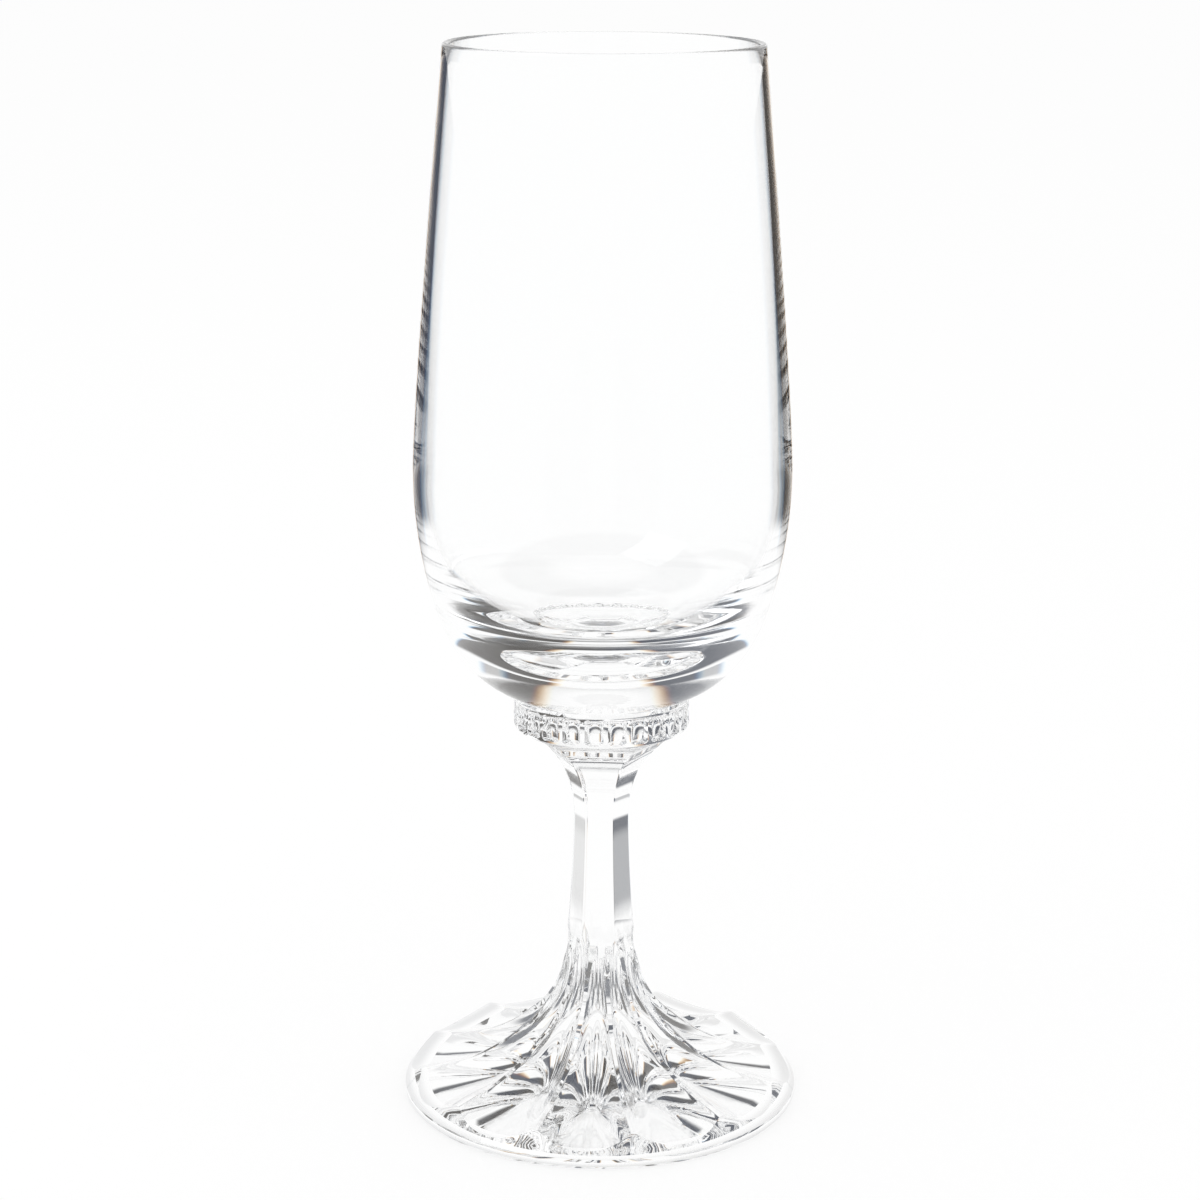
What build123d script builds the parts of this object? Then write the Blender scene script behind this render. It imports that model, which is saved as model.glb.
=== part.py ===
from build123d import *
from math import cos, radians, sin, tan
import os

# A stemmed crystal sherry glass: a blown tulip bowl on a fluted collar, a six-panelled stem and a
# foot of twelve hollow flutes, fused on one axis. Millimetres, +Z up, the origin on the table under
# the middle of the foot. A panel of the stem and a flute of the foot face the front, -Y.

# Foot: a bell of sharp ridges and hollow flutes
foot_height = 27.0
foot_radius = 31.15
foot_rim_height = 1.6
foot_chamfer = 0.45
ridge_inset = 2.35
ridge_end_height = 4.6
ridge_fall = 11.0
trough_inset = 1.25
trough_end_height = 2.65
trough_fall = 9.0
throat_radius = 4.85
throat_height = 22.5
flute_count = 12
flute_land = 0.9
flute_tip_clearance = 0.1
flute_arc_stations = 3
flute_fall_stations = 2
panel_fade_radius = 15.6
hollow_depth = 1.2
standing_ring_width = 3.5

# Stem: six flat panels, waisted, with eased edges
stem_length = 26.0
panel_count = 6
foot_panel = 4.6
waist_panel = 3.83
waist_height = 16.5
neck_panel = 5.05
foot_taper = 0.07
neck_flare = 0.42
edge_ease = 0.06

# Collar: a fluted ring on a trumpet that the stem's panels run up into as arches
collar_height = 12.9
collar_radius = 13.6
collar_bevel = 0.4
ring_height = 5.0
ring_lip = 0.8
trumpet_rise = 40.0
arch_rise = 12.0
collar_flute_count = 24
collar_flute_land = 0.6
collar_flute_depth = 0.7
collar_flute_end = 0.6
collar_flute_height = 3.9
collar_top_band = 0.75

# Bowl: heights are above its seat on the collar
bowl_height = 99.1
haunch_radius = 25.2
haunch_height = 12.5
belly_radius = 28.85
belly_height = 35.1
shoulder_reach = 9.0
rim_radius = 23.85
rim_wall = 1.1
belly_wall = 2.1
inner_shoulder_reach = 22.0
inner_wall_reach = 16.0
base_thickness = 8.4
floor_reach = 22.0

# Levels and shared sections
stem_base = foot_height
collar_base = stem_base + stem_length
seat_level = collar_base + collar_height
rim_level = seat_level + bowl_height
seat_radius = collar_radius - collar_bevel
panel_half_angle = 180.0 / panel_count
cutter_margin = 2.0
front_section = Plane(origin=(0, 0, 0), x_dir=(0, -1, 0), z_dir=(-1, 0, 0))


def edge_radius(panel):
    """Radius of the eased edge between two panels that lie at this distance from the axis."""
    return panel / cos(radians(panel_half_angle)) - edge_ease


def turned(outline):
    """Solid of revolution about the glass's axis of a closed outline of radius and height."""
    return revolve(Plane.XZ * make_face(outline), Axis.Z)


def panelled(side):
    """Solid whose flat-sided panels all follow one curve of distance from the axis and height."""
    start = side @ 0
    finish = side @ 1
    back = -2 * foot_radius
    outline = side + Polyline(finish, (back, finish.Y), (back, start.Y), start)
    slab = extrude(front_section * make_face(outline), 2 * foot_radius, both=True)
    body = slab
    for turn in range(1, panel_count):
        body = body & slab.rotate(Axis.Z, turn * 2 * panel_half_angle)
    return body


def falling_curve(start_radius, start_height, end_radius, end_height, fall):
    """Arc that leaves an upright and runs tangent into a straight fall, ending at a point."""
    slope = radians(fall)
    drop = (start_height - end_height) * cos(slope) - (end_radius - start_radius) * sin(slope)
    bend = drop / (1 - sin(slope))
    arc = CenterArc((start_radius + bend, start_height), bend, 180, 90 - fall)
    return arc, Line(arc @ 1, (end_radius, end_height))


def make_foot():
    """Bell-shaped foot: a turned blank, faded six-sided at the top, with hollow flutes cut into it."""
    neck = edge_radius(foot_panel)
    ridge_end = foot_radius - ridge_inset
    ring_inner = foot_radius - foot_chamfer - standing_ring_width
    arc, fall = falling_curve(neck, foot_height, ridge_end, ridge_end_height, ridge_fall)
    ridge = arc + fall
    blank = turned(
        Line((0, foot_height), (neck, foot_height))
        + ridge
        + Polyline(
            (ridge_end, ridge_end_height),
            (foot_radius, foot_rim_height),
            (foot_radius, foot_chamfer),
            (foot_radius - foot_chamfer, 0),
            (ring_inner, 0),
        )
        + TangentArc((0, hollow_depth), (ring_inner, 0), tangent=(1, 0))
        + Line((0, hollow_depth), (0, foot_height))
    )
    fade = CenterArc((foot_panel + panel_fade_radius, foot_height), panel_fade_radius, 180, 90)
    fade_out = Polyline(fade @ 1, (2 * foot_radius, (fade @ 1).Y), (2 * foot_radius, -cutter_margin))
    blank = blank & panelled(fade + fade_out)
    flute = flute_cutter(ridge)
    return blank - [flute.rotate(Axis.Z, turn * 360 / flute_count) for turn in range(flute_count)]


def flute_cutter(ridge):
    """Tapering round tool along the trough of one flute, from its tip on the stem past the edge."""
    half_pitch = radians(180 / flute_count)
    trough_end = foot_radius - trough_inset
    arc, fall = falling_curve(
        throat_radius, throat_height, trough_end, trough_end_height, trough_fall
    )
    overrun = fall % 1 * (trough_inset + cutter_margin)
    places = [step / flute_arc_stations for step in range(flute_arc_stations + 1)]
    stations = [(arc @ place, arc % place) for place in places]
    places = [step / flute_fall_stations for step in range(1, flute_fall_stations + 1)]
    stations += [(fall @ place, fall % place) for place in places]
    stations.append((fall @ 1 + overrun, fall % 1))
    sections = []
    for point, along in stations:
        depth = ridge.distance_to(Vertex(point.X, point.Y, 0))
        crest_radius = point.X - along.Y * depth
        half_width = crest_radius * sin(half_pitch) - flute_land / 2
        bore = (half_width**2 + depth**2) / (2 * depth)
        sections.append(round_section(point, along, bore))
    tip = Vector(edge_radius(foot_panel) + flute_tip_clearance, foot_height)
    return loft([round_section(tip, arc % 0, sections[0].edge().radius)] + sections)


def round_section(point, along, bore):
    """Disc of a flute tool whose lowest point lies on the trough, square to the trough's run."""
    lift = Vector(-along.Y, along.X) * bore
    centre = point + lift
    return Plane((centre.X, 0, centre.Y), x_dir=(0, 1, 0), z_dir=(along.X, 0, along.Y)) * Circle(bore)


def make_stem():
    """Waisted six-panelled stem between the foot and the collar."""
    waist = stem_base + waist_height
    panels = Spline(
        (foot_panel, stem_base),
        (waist_panel, waist),
        (neck_panel, collar_base),
        tangents=((-foot_taper, 1), (neck_flare, 1)),
    )
    edges = Spline(
        (edge_radius(foot_panel), stem_base),
        (edge_radius(waist_panel), waist),
        (edge_radius(neck_panel), collar_base),
        tangents=((-foot_taper, 1), (neck_flare, 1)),
    )
    blank = turned(
        Line((0, stem_base), edges @ 0)
        + edges
        + Polyline(edges @ 1, (0, collar_base), (0, stem_base))
    )
    return blank & panelled(panels)


def make_collar():
    """Fluted ring and trumpet between the stem and the bowl."""
    neck = edge_radius(neck_panel)
    ring_base = seat_level - ring_height
    lip_radius = collar_radius - ring_lip
    rise = radians(trumpet_rise)
    trumpet = Spline(
        (neck, collar_base),
        (lip_radius, ring_base - ring_lip * tan(rise)),
        tangents=((neck_flare, 1), (cos(rise), sin(rise))),
    )
    blank = turned(
        Line((0, collar_base), trumpet @ 0)
        + trumpet
        + Polyline(
            trumpet @ 1,
            (collar_radius, ring_base),
            (collar_radius, seat_level - collar_bevel),
            (seat_radius, seat_level),
            (0, seat_level),
            (0, collar_base),
        )
    )
    arch_angle = radians(arch_rise)
    arch = Spline(
        (neck_panel, collar_base),
        (collar_radius, ring_base),
        tangents=((neck_flare, 1), (cos(arch_angle), sin(arch_angle))),
    )
    clear = Polyline(arch @ 1, (2 * collar_radius, ring_base), (2 * collar_radius, seat_level))
    body = blank & panelled(arch + clear)
    half_pitch = radians(180 / collar_flute_count)
    half_width = collar_radius * sin(half_pitch) - collar_flute_land / 2
    bore = (half_width**2 + collar_flute_depth**2) / (2 * collar_flute_depth)
    tool = Cylinder(bore, collar_flute_height)
    tool = fillet(tool.edges().filter_by(GeomType.CIRCLE), collar_flute_end)
    middle = seat_level - collar_top_band - collar_flute_height / 2
    ring = PolarLocations(collar_radius - collar_flute_depth + bore, collar_flute_count)
    return body - [Pos(0, 0, middle) * copy for copy in ring * tool]


def make_bowl():
    """Tulip bowl: heavy round base, swelling belly, thin fire-polished rim."""
    belly_level = seat_level + belly_height
    floor_level = seat_level + base_thickness
    lip_level = rim_level - rim_wall / 2
    inner_belly = belly_radius - belly_wall
    haunch = Vector(haunch_radius, seat_level + haunch_height)
    swell = TangentArc((belly_radius, belly_level), haunch, tangent=(0, -1))
    base = TangentArc(haunch, (seat_radius, seat_level), tangent=swell % 1)
    flank = Bezier(
        (belly_radius, belly_level),
        (belly_radius, belly_level + shoulder_reach),
        (rim_radius, lip_level),
    )
    inner_flank = Bezier(
        (rim_radius - rim_wall, lip_level),
        (inner_belly, belly_level + inner_shoulder_reach),
        (inner_belly, belly_level),
    )
    inner_base = Bezier(
        (inner_belly, belly_level),
        (inner_belly, belly_level - inner_wall_reach),
        (floor_reach, floor_level),
        (0, floor_level),
    )
    lip = ThreePointArc(flank @ 1, (rim_radius - rim_wall / 2, rim_level), inner_flank @ 0)
    axis = Polyline((0, floor_level), (0, seat_level), (seat_radius, seat_level))
    return turned(base + swell + flank + lip + inner_flank + inner_base + axis)


os.makedirs("parts", exist_ok=True)
export_step(make_foot(), "parts/foot.step")
export_step(make_stem(), "parts/stem.step")
export_step(make_collar(), "parts/collar.step")
export_step(make_bowl(), "parts/bowl.step")
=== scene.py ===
# %% [markdown]
# # A crystal sherry glass
# The glass has four pieces: a tall tulip bowl, a fluted collar, a six-panelled stem and a foot of
# hollow flutes. The CAD frame gives their true sizes and places. Glass bends light by the lean of its
# surface, so even a small flat facet shows. That is why this lesson builds every piece again as a
# dense, smooth mesh, and lets each one stand for its CAD node.

# %% Load the frame
import math

import bpy
import numpy as np
from mathutils import Euler, Matrix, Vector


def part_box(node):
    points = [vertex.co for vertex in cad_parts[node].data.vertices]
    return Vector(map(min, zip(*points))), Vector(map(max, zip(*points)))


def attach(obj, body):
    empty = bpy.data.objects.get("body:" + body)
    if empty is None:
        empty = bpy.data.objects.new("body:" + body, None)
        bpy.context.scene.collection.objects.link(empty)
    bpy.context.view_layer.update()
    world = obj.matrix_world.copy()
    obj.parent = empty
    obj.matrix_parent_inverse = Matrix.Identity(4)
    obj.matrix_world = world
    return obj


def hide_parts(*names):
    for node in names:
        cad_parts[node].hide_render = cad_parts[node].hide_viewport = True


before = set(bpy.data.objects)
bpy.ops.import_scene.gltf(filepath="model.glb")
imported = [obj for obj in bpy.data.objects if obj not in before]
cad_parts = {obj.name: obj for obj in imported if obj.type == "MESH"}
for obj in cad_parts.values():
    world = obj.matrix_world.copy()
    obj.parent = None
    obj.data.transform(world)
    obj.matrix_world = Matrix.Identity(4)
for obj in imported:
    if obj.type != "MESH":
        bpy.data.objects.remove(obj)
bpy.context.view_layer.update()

MM = 0.001
print("CAD nodes:", sorted(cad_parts))

# %% [markdown]
# ## The camera
# A camera is found before anything is modelled, because every comparison with a photograph depends
# on it. The circles of the rim and the foot look like ellipses, and how flat each one is gives the
# tilt and the distance. The glass stands a hair off upright in the picture, so the camera is rolled.

# %% Place the camera
LENS_MM = 86.68
SENSOR_MM = 36.0
CAMERA_DISTANCE = 429.5 * MM
CAMERA_HEIGHT = 194.5 * MM
CAMERA_TILT = math.radians(14.866)
CAMERA_TURN = math.radians(4.8)
CAMERA_ROLL = math.radians(0.25)
CLIP_START = 10 * MM
FRAME_PIXELS = 1200
AXIS_OFFSET_PIXELS = 2.0

bpy.ops.object.camera_add()
camera = bpy.context.object
camera.name = "photo_camera"
camera.data.sensor_width = SENSOR_MM
camera.data.lens = LENS_MM
camera.data.shift_x = -AXIS_OFFSET_PIXELS / FRAME_PIXELS
camera.data.clip_start = CLIP_START
camera.location = (
    CAMERA_DISTANCE * math.sin(CAMERA_TURN),
    -CAMERA_DISTANCE * math.cos(CAMERA_TURN),
    CAMERA_HEIGHT,
)
level_aim = Euler((math.pi / 2 - CAMERA_TILT, 0, CAMERA_TURN)).to_matrix()
rolled_aim = level_aim @ Matrix.Rotation(CAMERA_ROLL, 3, "Z")
camera.rotation_euler = rolled_aim.to_euler()
bpy.context.scene.camera = camera
bpy.context.scene.view_settings.view_transform = "Standard"
print("camera field of view", round(math.degrees(camera.data.angle), 2), "degrees")

# %% [markdown]
# ## Curves for the outlines
# A glassmaker's drawing is made of a few arcs and flowing curves. Small helpers give points
# along them, in millimetres of radius and height: a Bezier curve, an arc that leaves in a known
# direction, and a Hermite curve that leaves and arrives in known directions.

# %% Curve helpers
def bezier(corners, steps):
    """Points along a Bezier curve with these corners."""
    t = np.linspace(0, 1, steps + 1)[:, None]
    level = [np.array(corner, float) + 0 * t for corner in corners]
    while len(level) > 1:
        level = [a * (1 - t) + b * t for a, b in zip(level, level[1:])]
    return level[0]


def tangent_arc(start, finish, heading, steps):
    """Points along the arc that leaves start in a heading and ends at finish."""
    start = np.array(start, float)
    chord = np.array(finish, float) - start
    side = np.array([-heading[1], heading[0]])
    arm = -side * (chord @ chord) / (2 * chord @ side)
    turn = 2 * math.atan2(chord @ side, chord @ np.array(heading))
    angle = np.linspace(0, turn, steps + 1)[:, None]
    swung = arm * np.cos(angle) + np.array([-arm[1], arm[0]]) * np.sin(angle)
    return start - arm + swung


def arrival(start, finish, heading):
    """Heading in which that arc arrives: its first heading, mirrored in the chord."""
    chord = np.array(finish, float) - np.array(start, float)
    chord = chord / np.linalg.norm(chord)
    heading = np.array(heading, float)
    return 2 * (chord @ heading) * chord - heading


def flowing(start, finish, leave, arrive, steps):
    """Points along a Hermite curve that leaves and arrives in these directions."""
    start = np.array(start, float)
    finish = np.array(finish, float)
    reach = np.linalg.norm(finish - start)
    first = start + np.array(leave) / np.linalg.norm(leave) * reach / 3
    last = finish - np.array(arrive) / np.linalg.norm(arrive) * reach / 3
    return bezier([start, first, last, finish], steps)


def line(start, finish, steps):
    """Points along a straight run."""
    return bezier([start, finish], steps)


def joined(*runs):
    """One outline from runs that meet end to end, with no point twice."""
    return np.vstack([runs[0]] + [run[1:] for run in runs[1:]])


# %% [markdown]
# ## The bowl
# A blown bowl is a body of revolution, so it is drawn as one outline and spun. The outline starts in
# the middle of the seat, runs up the outside, turns over the lip and comes back down the inside to
# the middle of the floor. The wall is thin at the rim and swells into a heavy base, and that base is
# the lens that makes the dark bands of the picture.

# %% Draw the bowl's outline
SEAT_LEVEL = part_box("bowl")[0][2] / MM
RIM_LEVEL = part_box("bowl")[1][2] / MM
SEAT_RADIUS = 13.2
HAUNCH = np.array([25.2, SEAT_LEVEL + 12.5])
BELLY_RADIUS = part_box("bowl")[1][0] / MM
BELLY_LEVEL = SEAT_LEVEL + 35.1
SHOULDER_REACH = 9.0
RIM_RADIUS = 23.85
RIM_WALL = 1.1
LIP_LEVEL = RIM_LEVEL - RIM_WALL / 2
BELLY_WALL = 2.1
INNER_SHOULDER_REACH = 22.0
INNER_WALL_REACH = 16.0
FLOOR_LEVEL = SEAT_LEVEL + 8.4
FLOOR_REACH = 22.0
SEAT_STEPS = 10
ARC_STEPS = 36
FLANK_STEPS = 44
LIP_STEPS = 12
INNER_BASE_STEPS = 64


def bowl_outside():
    """Points from the middle of the seat up the outside to the lip."""
    seat = line((0, SEAT_LEVEL), (SEAT_RADIUS, SEAT_LEVEL), SEAT_STEPS)
    belly = (BELLY_RADIUS, BELLY_LEVEL)
    down = (0.0, -1.0)
    swell = tangent_arc(belly, HAUNCH, down, ARC_STEPS)
    base = tangent_arc(HAUNCH, seat[-1], arrival(belly, HAUNCH, down), ARC_STEPS)
    shoulder = (BELLY_RADIUS, BELLY_LEVEL + SHOULDER_REACH)
    flank = bezier([belly, shoulder, (RIM_RADIUS, LIP_LEVEL)], FLANK_STEPS)
    return joined(seat, base[::-1], swell[::-1], flank)


def bowl_inside():
    """Points over the lip and down the inside to the middle of the floor."""
    angle = np.linspace(0, math.pi, LIP_STEPS + 1)[:, None]
    lip = np.hstack([np.cos(angle), np.sin(angle)]) * RIM_WALL / 2
    lip = lip + (RIM_RADIUS - RIM_WALL / 2, LIP_LEVEL)
    inner_radius = BELLY_RADIUS - BELLY_WALL
    belly = (inner_radius, BELLY_LEVEL)
    shoulder = (inner_radius, BELLY_LEVEL + INNER_SHOULDER_REACH)
    flank = bezier([lip[-1], shoulder, belly], FLANK_STEPS)
    wall = (inner_radius, BELLY_LEVEL - INNER_WALL_REACH)
    base = bezier([belly, wall, (FLOOR_REACH, FLOOR_LEVEL), (0, FLOOR_LEVEL)], INNER_BASE_STEPS)
    return joined(lip, flank, base)


# %% Spin the bowl
MERGE_DISTANCE = 0.0005 * MM
SMOOTH_ANGLE = math.radians(35)
BOWL_COLUMNS = 288


def close_mesh(piece):
    """Welds seams and poles, turns the faces outwards and smooths the shading."""
    bpy.ops.object.mode_set(mode="EDIT")
    bpy.ops.mesh.select_all(action="SELECT")
    bpy.ops.mesh.remove_doubles(threshold=MERGE_DISTANCE)
    bpy.ops.mesh.normals_make_consistent(inside=False)
    bpy.ops.object.mode_set(mode="OBJECT")
    bpy.ops.object.shade_smooth_by_angle(angle=SMOOTH_ANGLE)
    print(piece.name, "has", len(piece.data.polygons), "faces")


def spun(name, outline, columns):
    """Spins an outline that is open along the axis into a closed mesh."""
    bpy.ops.object.select_all(action="DESELECT")
    bpy.ops.mesh.primitive_circle_add(vertices=len(outline))
    piece = bpy.context.object
    piece.name = name
    axis_ends = {0, len(outline) - 1}
    for vertex, (radius, height) in zip(piece.data.vertices, outline):
        vertex.co = (radius * MM, 0, height * MM)
        vertex.select = vertex.index in axis_ends
    for edge in piece.data.edges:
        edge.select = set(edge.vertices) == axis_ends
    bpy.ops.object.mode_set(mode="EDIT")
    bpy.ops.mesh.delete(type="EDGE_FACE")
    bpy.ops.mesh.select_all(action="SELECT")
    bpy.ops.mesh.spin(steps=columns, angle=2 * math.pi, center=(0, 0, 0), axis=(0, 0, 1))
    bpy.ops.object.mode_set(mode="OBJECT")
    close_mesh(piece)
    return piece


bowl = spun("crystal_bowl", joined(bowl_outside(), bowl_inside()), BOWL_COLUMNS)

# %% [markdown]
# ## Wrapping a grid round the axis
# The other pieces aren't round: panels, arches and flutes change the radius with the angle. Extruding
# them by hand would leave creases in the wrong places, so a flat grid is wrapped round the axis
# instead. Its columns become angles, its rows follow the outline, and a formula for each piece says
# how far the hot glass was pressed in at every point.

# %% Wrapping helper
def wrapped(name, rows, columns, place):
    """Wraps a flat grid round the axis: place(turn, row) gives the points in millimetres."""
    bpy.ops.object.select_all(action="DESELECT")
    bpy.ops.mesh.primitive_grid_add(x_subdivisions=columns, y_subdivisions=rows, size=2)
    piece = bpy.context.object
    piece.name = name
    flat = np.empty(3 * len(piece.data.vertices))
    piece.data.vertices.foreach_get("co", flat)
    across, along = (flat.reshape(-1, 3)[:, :2].T + 1) / 2
    points = place(across, np.rint(along * rows).astype(int))
    piece.data.vertices.foreach_set("co", (points * MM).ravel())
    piece.data.update()
    close_mesh(piece)
    return piece


def at_angle(radius, angle, height):
    """Points from cylindrical places, with angle 0 at the front."""
    return np.stack([radius * np.sin(angle), -radius * np.cos(angle), height], axis=1)


def soft_least(a, b, blend):
    """The lesser of two values, with the corner between them rounded off over a blend."""
    overlap = np.maximum(blend - np.abs(a - b), 0)
    return np.minimum(a, b) - overlap**2 / (4 * blend)


# %% [markdown]
# ## The stem
# Six flat panels run up the stem, drawn in at a waist above the middle and flaring towards the collar.
# The edges between them were eased by the polishing. At every height the outline is a hexagon, and
# the columns of the grid are bunched towards its corners, where the surface turns.

# %% Make the stem
PANELS = 6
HALF_PANEL = math.pi / PANELS
EDGE_EASE = 0.06
EDGE_BLEND = 0.1
STEM_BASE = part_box("stem")[0][2] / MM
COLLAR_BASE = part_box("collar")[0][2] / MM
FOOT_PANEL = 4.6
WAIST_PANEL = 3.83
WAIST_LEVEL = STEM_BASE + 16.5
NECK_PANEL = 5.05
FOOT_TAPER = -0.07
NECK_FLARE = 0.42
STEM_CAP_ROWS = 6
STEM_SIDE_ROWS = 72
STEM_ROWS = 2 * STEM_CAP_ROWS + STEM_SIDE_ROWS
COLUMNS_PER_HALF_PANEL = 14
BUNCHING = 1.7


def panel_distance(height):
    """How far the stem's panels lie from the axis: two cubics that share the bend at the waist."""
    lower = WAIST_LEVEL - STEM_BASE
    upper = COLLAR_BASE - WAIST_LEVEL
    fall = (WAIST_PANEL - FOOT_PANEL) / lower
    rise = (NECK_PANEL - WAIST_PANEL) / upper
    bends = 3 * (upper * fall + lower * rise) - upper * FOOT_TAPER - lower * NECK_FLARE
    lean = bends / (2 * (lower + upper))
    below = height < WAIST_LEVEL
    run = np.where(below, lower, upper)
    t = np.where(below, height - STEM_BASE, height - WAIST_LEVEL) / run
    first = np.where(below, FOOT_PANEL, WAIST_PANEL)
    last = np.where(below, WAIST_PANEL, NECK_PANEL)
    leave = np.where(below, FOOT_TAPER, lean) * run
    arrive = np.where(below, lean, NECK_FLARE) * run
    return (
        first * (2 * t**3 - 3 * t**2 + 1)
        + leave * (t**3 - 2 * t**2 + t)
        + last * (3 * t**2 - 2 * t**3)
        + arrive * (t**3 - t**2)
    )


def panel_angle(turn):
    """Angle from the front and angle from the nearest panel's middle, bunched towards the corners."""
    place = turn * 2 * PANELS
    half = np.minimum(np.floor(place), 2 * PANELS - 1)
    within = place - half
    rising = half % 2 == 0
    within = np.where(rising, within, 1 - within)
    bent = HALF_PANEL * (1 - (1 - within) ** BUNCHING)
    middle = (half + np.where(rising, 0, 1)) * HALF_PANEL
    return middle + np.where(rising, bent, -bent), bent


def corner_radius(panel):
    """Radius of the eased edge between two panels at this distance from the axis."""
    return panel / math.cos(HALF_PANEL) - EDGE_EASE


def stem_place(turn, row):
    """Points of the stem's grid: up its bottom face, its side and its top face."""
    climb = np.clip((row - STEM_CAP_ROWS) / STEM_SIDE_ROWS, 0, 1)
    height = STEM_BASE + (COLLAR_BASE - STEM_BASE) * climb
    fill = np.minimum(np.minimum(row, STEM_ROWS - row) / STEM_CAP_ROWS, 1)
    angle, bent = panel_angle(turn)
    panel = panel_distance(height)
    radius = soft_least(panel / np.cos(bent), corner_radius(panel), EDGE_BLEND)
    return at_angle(radius * fill, angle, height)


stem = wrapped("crystal_stem", STEM_ROWS, 2 * PANELS * COLUMNS_PER_HALF_PANEL, stem_place)

# %% [markdown]
# ## The collar
# The collar is the ring that the bowl sits on, with a trumpet under it. The stem's panels run up into
# the trumpet and end in arches, which are simply the places where a flat panel meets the round
# trumpet. Round the ring are small flutes, each a shallow bite of a round cutter with rounded ends.

# %% Make the collar
COLLAR_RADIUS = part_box("collar")[1][0] / MM
RING_HEIGHT = 5.0
RING_BASE = SEAT_LEVEL - RING_HEIGHT
RING_LIP = 0.8
TRUMPET_RISE = math.radians(40)
ARCH_RISE = math.radians(12)
COLLAR_BEVEL = 0.4
COLLAR_FLUTES = 24
COLLAR_FLUTE_LAND = 0.6
COLLAR_FLUTE_DEPTH = 0.7
COLLAR_FLUTE_END = 0.6
COLLAR_FLUTE_HALF = 1.95
COLLAR_TOP_BAND = 0.75
COLLAR_FLUTE_MIDDLE = SEAT_LEVEL - COLLAR_TOP_BAND - COLLAR_FLUTE_HALF
COLLAR_BLEND = 0.14
COLLAR_CAP_ROWS = 8
TRUMPET_ROWS = 48
LIP_ROWS = 6
RING_ROWS = 46
COLLAR_BEVEL_ROWS = 4
ARCH_STEPS = 60
COLUMNS_PER_COLLAR_FLUTE = 20


def collar_rows():
    """Radius, height and fill of every row of the collar, from the stem to the bowl."""
    neck = (corner_radius(NECK_PANEL), COLLAR_BASE)
    lip = (COLLAR_RADIUS - RING_LIP, RING_BASE - RING_LIP * math.tan(TRUMPET_RISE))
    ring_foot = (COLLAR_RADIUS, RING_BASE)
    ring_head = (COLLAR_RADIUS, SEAT_LEVEL - COLLAR_BEVEL)
    arrive = (math.cos(TRUMPET_RISE), math.sin(TRUMPET_RISE))
    side = joined(
        flowing(neck, lip, (NECK_FLARE, 1), arrive, TRUMPET_ROWS),
        line(lip, ring_foot, LIP_ROWS),
        line(ring_foot, ring_head, RING_ROWS),
        line(ring_head, (SEAT_RADIUS, SEAT_LEVEL), COLLAR_BEVEL_ROWS),
    )
    rows = np.arange(len(side) + 2 * COLLAR_CAP_ROWS)
    radius, height = side[np.clip(rows - COLLAR_CAP_ROWS, 0, len(side) - 1)].T
    fill = np.minimum(np.minimum(rows, rows[::-1]) / COLLAR_CAP_ROWS, 1)
    return radius, height, fill


def off_middle(angle, half):
    """Angle from the nearest middle of panels or flutes that are this half angle wide."""
    return (angle + half) % (2 * half) - half


def collar_bite(angle, height):
    """How near to the axis the flutes' cutter comes, or a far place where it doesn't cut."""
    half_pitch = math.pi / COLLAR_FLUTES
    half_width = COLLAR_RADIUS * math.sin(half_pitch) - COLLAR_FLUTE_LAND / 2
    bore = (half_width**2 + COLLAR_FLUTE_DEPTH**2) / (2 * COLLAR_FLUTE_DEPTH)
    centre = COLLAR_RADIUS - COLLAR_FLUTE_DEPTH + bore
    from_end = COLLAR_FLUTE_HALF - np.abs(height - COLLAR_FLUTE_MIDDLE)
    rounding = COLLAR_FLUTE_END - np.clip(from_end, 0, COLLAR_FLUTE_END)
    tool = bore - COLLAR_FLUTE_END + np.sqrt(COLLAR_FLUTE_END**2 - rounding**2)
    off_flute = off_middle(angle, half_pitch)
    reach = tool**2 - (centre * np.sin(off_flute)) ** 2
    bite = centre * np.cos(off_flute) - np.sqrt(np.maximum(reach, 0))
    return np.where((from_end > 0) & (reach > 0), bite, 2 * COLLAR_RADIUS)


def collar_place(turn, row):
    """Points of the collar's grid, with its arches and its ring of flutes pressed in."""
    radii, heights, fills = collar_rows()
    angle = turn * 2 * math.pi
    height = heights[row]
    arch = flowing(
        (NECK_PANEL, COLLAR_BASE),
        (COLLAR_RADIUS, RING_BASE),
        (NECK_FLARE, 1),
        (math.cos(ARCH_RISE), math.sin(ARCH_RISE)),
        ARCH_STEPS,
    )
    panel = np.interp(height, arch[:, 1], arch[:, 0]) / np.cos(off_middle(angle, HALF_PANEL))
    flat = np.where(height < RING_BASE, panel, 2 * COLLAR_RADIUS)
    radius = soft_least(radii[row], flat, COLLAR_BLEND)
    radius = soft_least(radius, collar_bite(angle, height), COLLAR_BLEND)
    return at_angle(radius * fills[row], angle, height)


collar = wrapped(
    "crystal_collar",
    rows=len(collar_rows()[0]) - 1,
    columns=COLLAR_FLUTES * COLUMNS_PER_COLLAR_FLUTE,
    place=collar_place,
)

# %% [markdown]
# ## The foot
# The foot is the piece that takes most skill. Its blank is a bell, whose outline falls from the stem
# in an arc and runs out straight. Twelve hollow flutes are pressed into it, each deepest along its own
# trough and leaving a narrow land to its neighbour. A bevel at the edge cuts across the flutes, which
# gives the scalloped border. The depth of a flute is worked out square to the bell's surface.

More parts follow.
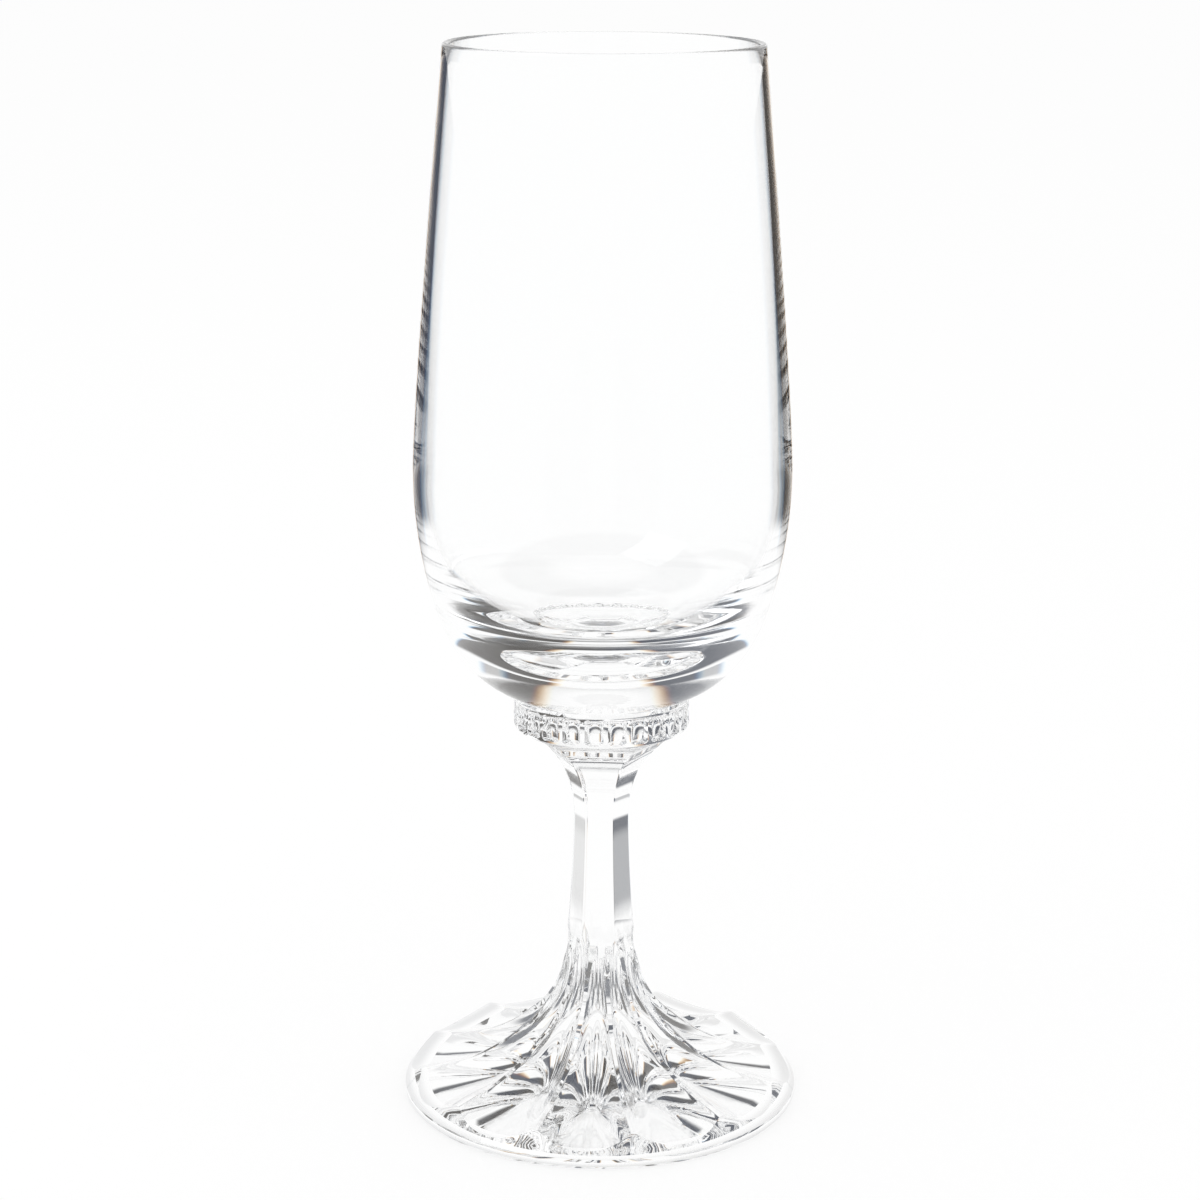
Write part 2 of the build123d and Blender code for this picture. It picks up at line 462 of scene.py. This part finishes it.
# %% Draw the foot's ridge and trough
FOOT_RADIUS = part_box("foot")[1][0] / MM
FOOT_RIM = 1.6
FOOT_CHAMFER = 0.45
RIDGE_INSET = 2.35
RIDGE_END = np.array([FOOT_RADIUS - RIDGE_INSET, 4.6])
RIDGE_FALL = math.radians(11)
TROUGH_INSET = 1.25
TROUGH_END = np.array([FOOT_RADIUS - TROUGH_INSET, 2.65])
TROUGH_FALL = math.radians(9)
THROAT = np.array([4.85, 22.5])
FLUTES = 12
FLUTE_LAND = 0.9
FLUTE_TIP_CLEARANCE = 0.1
FADE_RADIUS = 15.6
HOLLOW_DEPTH = 1.2
STANDING_RING = 3.5
FOOT_BLEND = 0.12
OVERRUN = 6.0
FALL_STEPS = 200
RUN_OUT_STEPS = 60


def falling(start, end, fall):
    """Arc that leaves an upright and runs tangent into a straight fall, with some overrun."""
    drop = (start[1] - end[1]) * math.cos(fall) - (end[0] - start[0]) * math.sin(fall)
    bend = drop / (1 - math.sin(fall))
    angle = np.linspace(math.pi, 1.5 * math.pi - fall, FALL_STEPS + 1)[:, None]
    arc = np.hstack([np.cos(angle), np.sin(angle)]) * bend + (start[0] + bend, start[1])
    run = np.array([math.cos(fall), -math.sin(fall)])
    overrun = line(end, end + OVERRUN * run, FALL_STEPS // 2)
    return joined(arc, line(arc[-1], end, FALL_STEPS), overrun)


def lengths(points):
    """Length along a run of points up to each of them."""
    return np.concatenate([[0], np.cumsum(np.linalg.norm(np.diff(points, axis=0), axis=1))])


foot_neck = corner_radius(FOOT_PANEL)
ridge = falling(np.array([foot_neck, STEM_BASE]), RIDGE_END, RIDGE_FALL)
ridge_length = lengths(ridge)
tip = (foot_neck + FLUTE_TIP_CLEARANCE, STEM_BASE)
tip_bend = (THROAT[0], (THROAT[1] + STEM_BASE) / 2)
run_out = bezier([tip, tip_bend, THROAT], RUN_OUT_STEPS)
trough = joined(run_out, falling(THROAT, TROUGH_END, TROUGH_FALL))
ridge_whole = np.linalg.norm(ridge - RIDGE_END, axis=1).argmin()
print("ridge runs", round(ridge_length[ridge_whole], 1), "mm from stem to edge")

# %% [markdown]
# At each place along the ridge, the flute's depth is the distance from the ridge to the trough, and
# its width is what the lands leave. A circle through both gives the round bottom of the flute.

# %% Work out the flutes
HALF_PITCH = math.pi / FLUTES
LAND_LIMIT = 0.98
gaps = np.linalg.norm(ridge[:, None, :] - trough[None, :, :], axis=2)
nearest = trough[gaps.argmin(axis=1)]
ridge_heading = np.gradient(ridge, ridge_length, axis=0)
ridge_inward = np.stack([ridge_heading[:, 1], -ridge_heading[:, 0]], axis=1)
flute_depth = np.sum((nearest - ridge) * ridge_inward, axis=1)
flute_half = ridge[:, 0] * math.sin(HALF_PITCH) - FLUTE_LAND / 2
at_throat = np.abs(ridge[:, 1] - THROAT[1]).argmin()
flute_half[:at_throat] = flute_half[at_throat]
safe_depth = np.maximum(flute_depth, flute_depth[at_throat])
flute_bore = (flute_half**2 + safe_depth**2) / (2 * safe_depth)
flute_bore[:at_throat] = flute_bore[at_throat]
widest = math.sin(HALF_PITCH) * LAND_LIMIT
land_angle = np.arcsin(np.clip(flute_half / ridge[:, 0], 0, widest))
print("flutes are", round(flute_depth[ridge_whole], 2), "mm deep at the edge")


def pressed(length, off_flute):
    """The ridge's place and inward way at a length, the flute's dip there and the panel's distance."""
    tables = (*ridge.T, *ridge_inward.T, flute_depth, flute_bore)
    along = [np.interp(length, ridge_length, values) for values in tables]
    radius, height, inward_r, inward_z, depth, bore = along
    sideways = radius * np.sin(off_flute)
    dip = depth - bore + np.sqrt(np.maximum(bore**2 - sideways**2, 0))
    drop = np.clip(STEM_BASE - height, 0, FADE_RADIUS)
    panel = FOOT_PANEL + FADE_RADIUS - np.sqrt(FADE_RADIUS**2 - drop**2)
    return radius, height, inward_r, inward_z, dip, panel


def foot_surface(length, angle, off_flute):
    """Radius and height of the foot's upper side, flutes and fading panels together."""
    radius, height, inward_r, inward_z, dip, panel = pressed(length, off_flute)
    facet = (radius - panel / np.cos(off_middle(angle, HALF_PANEL))) * -inward_r
    flat = np.where(height > STEM_BASE - FADE_RADIUS, facet, -FOOT_RADIUS)
    depth = -soft_least(soft_least(-dip, 0 * dip, FOOT_BLEND), -flat, FOOT_BLEND)
    return radius + depth * inward_r, height + depth * inward_z


# %% [markdown]
# The grid's rows climb from the hollow under the foot, round the standing ring and the rim, up the
# bevel to the scalloped edge, and in over the flutes to the stem. Where each flute meets the bevel is
# found by halving a length until the point lies on the bevel's slope.

# %% Make the foot
BEVEL_SLOPE = (RIDGE_END[1] - FOOT_RIM) / (FOOT_RADIUS - RIDGE_END[0])
HALVINGS = 30
SEARCH_MARGIN = 1.0
FLUTE_SHARE = 0.8
COLUMNS_PER_FLUTE = 40
HOLLOW_ROWS = 24
STANDING_ROWS = 4
CHAMFER_ROWS = 3
RIM_ROWS = 5
UPPER_ROWS = 120
BEVEL_ROWS = 10
TOP_ROWS = 6


def flute_angles(turn, length):
    """Angle from the front and from the nearest flute's middle, with columns along the lands' edges."""
    place = turn * FLUTES
    middle = np.rint(place)
    share = 2 * np.abs(place - middle)
    edge = np.interp(length, ridge_length, land_angle)
    inside = edge * share / FLUTE_SHARE
    outside = edge + (HALF_PITCH - edge) * (share - FLUTE_SHARE) / (1 - FLUTE_SHARE)
    off_flute = np.where(share < FLUTE_SHARE, inside, outside) * np.sign(place - middle)
    return middle * 2 * HALF_PITCH + off_flute, off_flute


def scallop_length(turn):
    """Length along the ridge at which the pressed surface meets the bevel, at each turn."""
    low = np.full_like(turn, ridge_length[ridge_whole] - SEARCH_MARGIN)
    high = np.full_like(turn, ridge_length[-1])
    for _ in range(HALVINGS):
        middle = (low + high) / 2
        radius, height = foot_surface(middle, *flute_angles(turn, middle))
        outside = height - FOOT_RIM > (FOOT_RADIUS - radius) * BEVEL_SLOPE
        high = np.where(outside, middle, high)
        low = np.where(outside, low, middle)
    return (low + high) / 2


ring_inner = FOOT_RADIUS - FOOT_CHAMFER - STANDING_RING
under = joined(
    tangent_arc((0, HOLLOW_DEPTH), (ring_inner, 0), (1.0, 0.0), HOLLOW_ROWS),
    line((ring_inner, 0), (FOOT_RADIUS - FOOT_CHAMFER, 0), STANDING_ROWS),
    line((FOOT_RADIUS - FOOT_CHAMFER, 0), (FOOT_RADIUS, FOOT_CHAMFER), CHAMFER_ROWS),
    line((FOOT_RADIUS, FOOT_CHAMFER), (FOOT_RADIUS, FOOT_RIM), RIM_ROWS),
)


def foot_place(turn, row):
    """Points of the foot's grid, from the hollow under it to the face that meets the stem."""
    scallop = scallop_length(turn)
    first_upper = len(under) + BEVEL_ROWS
    climb = np.clip((row - first_upper + 1) / UPPER_ROWS, 0, 1)
    length = scallop * (1 - climb)
    angle, off_flute = flute_angles(turn, length)
    radius, height = foot_surface(length, angle, off_flute)
    edge_r, edge_z = foot_surface(scallop, *flute_angles(turn, scallop))
    rise = np.clip((row - len(under) + 1) / BEVEL_ROWS, 0, 1)
    on_bevel = (row >= len(under)) & (row < first_upper)
    radius = np.where(on_bevel, FOOT_RADIUS + (edge_r - FOOT_RADIUS) * rise, radius)
    height = np.where(on_bevel, FOOT_RIM + (edge_z - FOOT_RIM) * rise, height)
    below = row < len(under)
    low_row = np.minimum(row, len(under) - 1)
    radius = np.where(below, under[low_row, 0], radius)
    height = np.where(below, under[low_row, 1], height)
    fill = np.clip((first_upper + UPPER_ROWS - 1 + TOP_ROWS - row) / TOP_ROWS, 0, 1)
    return at_angle(radius * fill, angle, height)


foot = wrapped(
    "crystal_foot",
    rows=len(under) + BEVEL_ROWS + UPPER_ROWS + TOP_ROWS - 1,
    columns=FLUTES * COLUMNS_PER_FLUTE,
    place=foot_place,
)

# %% [markdown]
# ## Shader maths as expressions
# A node tree is easier to read as a formula. This small class wraps a node's output, so that sums and
# products of wrapped outputs add their own Math nodes, and one method adds any other node.

# %% A class for node outputs
class Output:
    """A node's output socket that can be used in expressions."""

    def __init__(self, tree, socket=None):
        self.tree = tree
        self.socket = socket

    def node(self, kind, settings=None, sockets=None, output=0):
        """Adds a node, sets it up, feeds its sockets and returns one of its outputs."""
        made = self.tree.nodes.new(kind)
        for name, value in (settings or {}).items():
            setattr(made, name, value)
        for name, value in (sockets or {}).items():
            if isinstance(value, Output):
                self.tree.links.new(value.socket, made.inputs[name])
            else:
                made.inputs[name].default_value = value
        return Output(self.tree, made.outputs[output] if made.outputs else None)

    def maths(self, operation, first, second):
        """Adds a Math node."""
        return self.node("ShaderNodeMath", {"operation": operation}, {0: first, 1: second})

    def __add__(self, other):
        return self.maths("ADD", self, other)

    def __radd__(self, other):
        return self.maths("ADD", other, self)

    def __sub__(self, other):
        return self.maths("SUBTRACT", self, other)

    def __rsub__(self, other):
        return self.maths("SUBTRACT", other, self)

    def __mul__(self, other):
        return self.maths("MULTIPLY", self, other)

    def __rmul__(self, other):
        return self.maths("MULTIPLY", other, self)


def new_tree(owner):
    """An empty node tree of a material or a world, ready for expressions."""
    owner.use_nodes = True
    owner.node_tree.nodes.clear()
    return Output(owner.node_tree)


# %% [markdown]
# ## Crystal
# Crystal is clear, bends light more than window glass, and is fire-polished. It is never quite
# flawless: the surface waves a little where it cooled, and handling leaves faint soft patches. Both
# come from noise in the object's own coordinates. A lamp's rays can't find their way through bent
# glass, so shadow rays mostly pass straight, and the shadow stays as light as a real one.

# %% Make the crystal
CRYSTAL_INDEX = 1.55
CRYSTAL_TINT = (0.996, 0.998, 0.998, 1.0)
WAVE_SCALE = 90.0
WAVE_DETAIL = 1.0
WAVE_HEIGHT = 0.012 * MM
HAZE_SCALE = 35.0
HAZE_DETAIL = 4.0
HAZE_MOST = 0.012
SHADOW_CLEARNESS = 0.9


def make_crystal():
    """Clear, slightly waved crystal that lets most of a lamp's light through."""
    material = bpy.data.materials.new("clear_crystal")
    tree = new_tree(material)
    place = tree.node("ShaderNodeTexCoord", output="Object")
    waves, haze = (
        tree.node("ShaderNodeTexNoise", sockets={"Vector": place, "Scale": scale, "Detail": detail})
        for scale, detail in ((WAVE_SCALE, WAVE_DETAIL), (HAZE_SCALE, HAZE_DETAIL))
    )
    bump = tree.node("ShaderNodeBump", sockets={"Strength": 1.0, "Distance": WAVE_HEIGHT, "Height": waves})
    glass = tree.node(
        "ShaderNodeBsdfPrincipled",
        sockets={
            "Base Color": CRYSTAL_TINT,
            "Roughness": haze * HAZE_MOST,
            "IOR": CRYSTAL_INDEX,
            "Transmission Weight": 1.0,
            "Normal": bump,
        },
    )
    clear = tree.node("ShaderNodeBsdfTransparent")
    shadow = tree.node("ShaderNodeLightPath", output="Is Shadow Ray") * SHADOW_CLEARNESS
    mixed = tree.node("ShaderNodeMixShader", sockets={0: shadow, 1: glass, 2: clear})
    tree.node("ShaderNodeOutputMaterial", sockets={"Surface": mixed})
    return material


# %% [markdown]
# ## Fused joints
# The pieces meet face to face, but on the real glass they were fused hot and nothing shows inside.
# Two touching crystal faces would act as a thin sheet of air and mirror the light. So the faces where
# pieces meet get a second material that lets light straight through, as the fused glass does.

# %% Dress the pieces
JOINT_TOLERANCE = 0.01 * MM


def make_fused_joint():
    """The inside of a hot joint: light passes as if nothing were there."""
    material = bpy.data.materials.new("fused_joint")
    tree = new_tree(material)
    clear = tree.node("ShaderNodeBsdfTransparent")
    tree.node("ShaderNodeOutputMaterial", sockets={"Surface": clear})
    return material


crystal = make_crystal()
fused = make_fused_joint()
joints = [level * MM for level in (STEM_BASE, COLLAR_BASE, SEAT_LEVEL)]
for piece, node in ((bowl, "bowl"), (collar, "collar"), (stem, "stem"), (foot, "foot")):
    piece.data.materials.append(crystal)
    piece.data.materials.append(fused)
    count = 0
    for face in piece.data.polygons:
        heights = [piece.data.vertices[corner].co.z for corner in face.vertices]
        if any(max(abs(h - level) for h in heights) < JOINT_TOLERANCE for level in joints):
            face.material_index = 1
            count += 1
    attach(piece, "root")
    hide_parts(node)
    print(piece.name, "stands for", node, "with", count, "fused faces")

# %% [markdown]
# ## The studio
# Clear glass is drawn by what it bends. The table and the space behind the glass are white, so its
# middle is white too. Black cards to the left and right of that white give the glass something dark
# to bend: rays that turn far enough at an edge meet a card, and that draws the edge. The cards are
# patterns in the colour of the table and of the room that only light from the glass sees, so the table
# itself stays plain.
#
# Some helpers come first: soft steps, and tests of how a ray came here. Blender counts how often a ray
# was mirrored and how often it crossed into glass or out of it, which is twice for one wall. Light
# that only passed the walls of the bowl sees no cards, so the middle of the bowl stays clear from the
# front. Seen from behind, it still shows two faint grey panes.

# %% Soft steps and kinds of rays
ONE_WALL = 2
ONE_MIRROR = 1


def fading(tree, value, low, high):
    """0 below low, 1 above high and a smooth rise between."""
    return tree.node(
        "ShaderNodeMapRange",
        {"interpolation_type": "SMOOTHSTEP"},
        {"Value": value, "From Min": low, "From Max": high},
    )


def between(tree, value, low, high, edge):
    """1 from low to high, with soft edges."""
    return fading(tree, value, low - edge, low + edge) - fading(tree, value, high - edge, high + edge)


def light_path(tree, name):
    """One of the things that Blender knows about a ray."""
    return tree.node("ShaderNodeLightPath", output=name)


def more_than(tree, name, count):
    """1 where one of a ray's depths is more than this count."""
    return tree.maths("GREATER_THAN", light_path(tree, name), count)


def from_glass(tree):
    """1 for rays from gloss and through glass, and 0 for the camera's rays and light on things."""
    gloss = light_path(tree, "Is Glossy Ray")
    return tree.maths("MAXIMUM", gloss, light_path(tree, "Is Transmission Ray"))


def clean_light(tree):
    """1 for light that passed more than one wall and met one mirror at most."""
    passed = more_than(tree, "Transmission Depth", ONE_WALL)
    return passed * (1 - more_than(tree, "Glossy Depth", ONE_MIRROR))


def outside_light(tree):
    """1 for light that was mirrored on the outside of the glass and never entered it."""
    return 1 - more_than(tree, "Transmission Depth", 0)


def bent_light(tree):
    """1 for light that the stem, the foot or the edge of a wall turned."""
    return 1 - clean_light(tree) - outside_light(tree)


# %% [markdown]
# ## Dark cards
# Every place round the glass has a heading: zero behind it, as the camera looks. The two rear cards
# reach from just beside the white strip to the sides, less far on the table than in the room. Crystal
# splits colours a little, so red, green and blue meet the edges of the cards at slightly different
# headings, and that leaves the fine blue and orange fringes.

# %% Patterns of the cards
REAR_START = math.radians(17)
OUTSIDE_END = math.radians(42)
FAR_END = math.radians(40)
TABLE_END = math.radians(54)
ROOM_END = math.radians(79)
REAR_EDGE = math.radians(3)
FAR_SHARE = 0.55
COLOUR_SPREAD = math.radians(0.7)
COOL_TONE = (0.075, 0.085, 0.11)
WARM_TONE = (0.075, 0.07, 0.065)
TONE_EDGE = math.radians(20)


def heading_of(tree, place):
    """Angle round the glass, zero straight behind it, positive to the camera's right."""
    east, north = (
        tree.node("ShaderNodeSeparateXYZ", sockets={"Vector": place}, output=axis) for axis in "XY"
    )
    return tree.maths("ARCTAN2", east, north) + CAMERA_TURN


def rear_cards(tree, angle, end):
    """The two cards, from beside the white strip to this heading."""
    return between(tree, angle, REAR_START, end, REAR_EDGE)


def card_colour(tree, heading, pattern):
    """White with the pattern's cards in it, cool on the left and warm on the right."""
    right = fading(tree, heading, -TONE_EDGE, TONE_EDGE)
    angle = tree.maths("ABSOLUTE", heading, 0.0)
    channels = {}
    tones = zip(("Red", "Green", "Blue"), COOL_TONE, WARM_TONE)
    for number, (name, cool, warm) in enumerate(tones):
        tone = cool * (1 - right) + warm * right
        channels[name] = 1 - pattern(angle + (number - 1) * COLOUR_SPREAD) * (1 - tone)
    return tree.node("ShaderNodeCombineColor", sockets=channels)


# %% [markdown]
# ## The table
# The table is white paint mixed with a glow: the camera sees plain white that still takes a shadow.
# For light from the glass, the cards lie on it in three rings: a grey one close to the foot, a dark
# one beyond it, and a wide one that starts far out. The glass also sees painted shade in the table's
# colour: a thin ring under the edge of the foot and a patch under the stem.

# %% Lay the table
FLOOR_SIZE = 12.0
FLOOR_WHITE = 0.92
FLOOR_GLOW = 0.75
GLASS_GLOW = 0.95
NEAR_CARD = (60 * MM, 108 * MM)
DARK_CARD = (108 * MM, 132 * MM)
CARD_EDGE = 6 * MM
FAR_CARD = (260 * MM, 340 * MM)
STRAIGHT_REACH = (400 * MM, 480 * MM)
NEAR_LEFT = 0.68
NEAR_RIGHT = 0.25
DARK_FALL = 0.6
CONTACT_RING = (28.5 * MM, 31 * MM)
CONTACT_EDGE = 1 * MM
PAINTED_CONTACT_SHADE = 0.2
PAINTED_STEM_SHADE = 0.85
STEM_SHADE_EDGE = (11 * MM, 15 * MM)


def table_pattern(tree, reach, heading):
    """The cards and the painted shade on the table, as a function of the angle from straight behind."""
    visible = from_glass(tree)
    outside = outside_light(tree)
    bent = bent_light(tree)
    mirrored = more_than(tree, "Glossy Depth", 0)
    right = fading(tree, heading, -TONE_EDGE, TONE_EDGE)
    near_share = NEAR_LEFT * (1 - right) + NEAR_RIGHT * right
    near = near_share * between(tree, reach, *NEAR_CARD, CARD_EDGE)
    dark = (1 - DARK_FALL * right) * between(tree, reach, *DARK_CARD, CARD_EDGE)
    past_reach = (1 - mirrored) * fading(tree, reach, *STRAIGHT_REACH)
    far = fading(tree, reach, *FAR_CARD) * (1 - past_reach)
    # Painted shade in the table's colour, for light from the glass: a thin ring under the foot's edge.
    painted_ring_shade = PAINTED_CONTACT_SHADE * between(tree, reach, *CONTACT_RING, CONTACT_EDGE)
    # Painted shade in the table's colour under the stem, seen only by light that was mirrored.
    painted_stem_patch = PAINTED_STEM_SHADE * mirrored * (1 - fading(tree, reach, *STEM_SHADE_EDGE))

    def pattern(angle):
        inner = (1 - FAR_SHARE) * far * rear_cards(tree, angle, FAR_END)
        wide = (near + dark + FAR_SHARE * far) * rear_cards(tree, angle, TABLE_END)
        mirror = outside * far * rear_cards(tree, angle, OUTSIDE_END)
        return visible * (painted_ring_shade + painted_stem_patch + bent * (wide + inner) + mirror)

    return pattern


def make_floor():
    """White table that glows a little for the camera and the glass, and still takes a shadow."""
    material = bpy.data.materials.new("white_table")
    tree = new_tree(material)
    place = tree.node("ShaderNodeTexCoord", output="Object")
    reach = tree.node("ShaderNodeVectorMath", {"operation": "LENGTH"}, {0: place}, output="Value")
    heading = heading_of(tree, place)
    colour = card_colour(tree, heading, table_pattern(tree, reach, heading))
    scaled = {0: colour, "Scale": FLOOR_WHITE}
    white = tree.node("ShaderNodeVectorMath", {"operation": "SCALE"}, scaled)
    paint = tree.node("ShaderNodeBsdfDiffuse", sockets={"Color": white})
    glow = tree.node("ShaderNodeEmission", sockets={"Color": colour, "Strength": 1.0})
    share = FLOOR_GLOW * light_path(tree, "Is Camera Ray") + GLASS_GLOW * from_glass(tree)
    mixed = tree.node("ShaderNodeMixShader", sockets={0: share, 1: paint, 2: glow})
    tree.node("ShaderNodeOutputMaterial", sockets={"Surface": mixed})
    return material


bpy.ops.object.select_all(action="DESELECT")
bpy.ops.mesh.primitive_plane_add(size=FLOOR_SIZE)
floor = bpy.context.object
floor.name = "table"
floor.data.materials.append(make_floor())
print("table", FLOOR_SIZE, "m wide")

# %% [markdown]
# ## Light
# The room is white to everything that it lights. To the glass it shows the rear cards, standing from
# a little above the table up to a bright ceiling, and a dark strip high up all round, as a studio has
# above its soft boxes. Their heights are those of a direction: 0 at the horizon and 1 overhead.
#
# One large soft lamp above and to the left adds a gentle direction. Light is mirrored many times
# inside the thick base of the bowl, in the flutes and along the walls up to the rim, so rays are
# followed for longer than usual.

# %% Room and lamp
ROOM_LEVEL = 1.0
WALL_FOOT = 0.1
WALL_HEAD = 0.74
WALL_EDGE = 0.05
STRIP_FOOT = 0.6
STRIP_HEAD = 0.9
RAY_BOUNCES = 96
LAMP_PLACE = (-0.7, -0.5, 1.1)
LAMP_POWER = 3.0
LAMP_SIZE = 0.8


def make_room():
    """White light for things, and a white room with dark cards for the glass to bend."""
    room = bpy.data.worlds.new("light_tent")
    tree = new_tree(room)
    direction = tree.node("ShaderNodeTexCoord", output="Generated")
    height = tree.node("ShaderNodeSeparateXYZ", sockets={"Vector": direction}, output="Z")
    visible = from_glass(tree)
    standing = between(tree, height, WALL_FOOT, WALL_HEAD, WALL_EDGE) * bent_light(tree)
    strip = between(tree, height, STRIP_FOOT, STRIP_HEAD, WALL_EDGE) * (1 - outside_light(tree))

    def pattern(angle):
        cards = standing * rear_cards(tree, angle, ROOM_END)
        return visible * tree.maths("MAXIMUM", cards, strip)

    colour = card_colour(tree, heading_of(tree, direction), pattern)
    sky = tree.node("ShaderNodeBackground", sockets={"Color": colour, "Strength": ROOM_LEVEL})
    tree.node("ShaderNodeOutputWorld", sockets={"Surface": sky})
    return room


scene = bpy.context.scene
scene.world = make_room()
scene.cycles.max_bounces = RAY_BOUNCES
scene.cycles.glossy_bounces = RAY_BOUNCES
scene.cycles.transmission_bounces = RAY_BOUNCES
scene.cycles.transparent_max_bounces = RAY_BOUNCES
bpy.ops.object.light_add(type="AREA", location=LAMP_PLACE)
lamp = bpy.context.object
lamp.name = "soft_lamp"
lamp.data.size = LAMP_SIZE
lamp.data.energy = LAMP_POWER
lamp.rotation_euler = (-lamp.location).to_track_quat("-Z", "Y").to_euler()
print("room level", ROOM_LEVEL, "lamp", LAMP_POWER, "W")
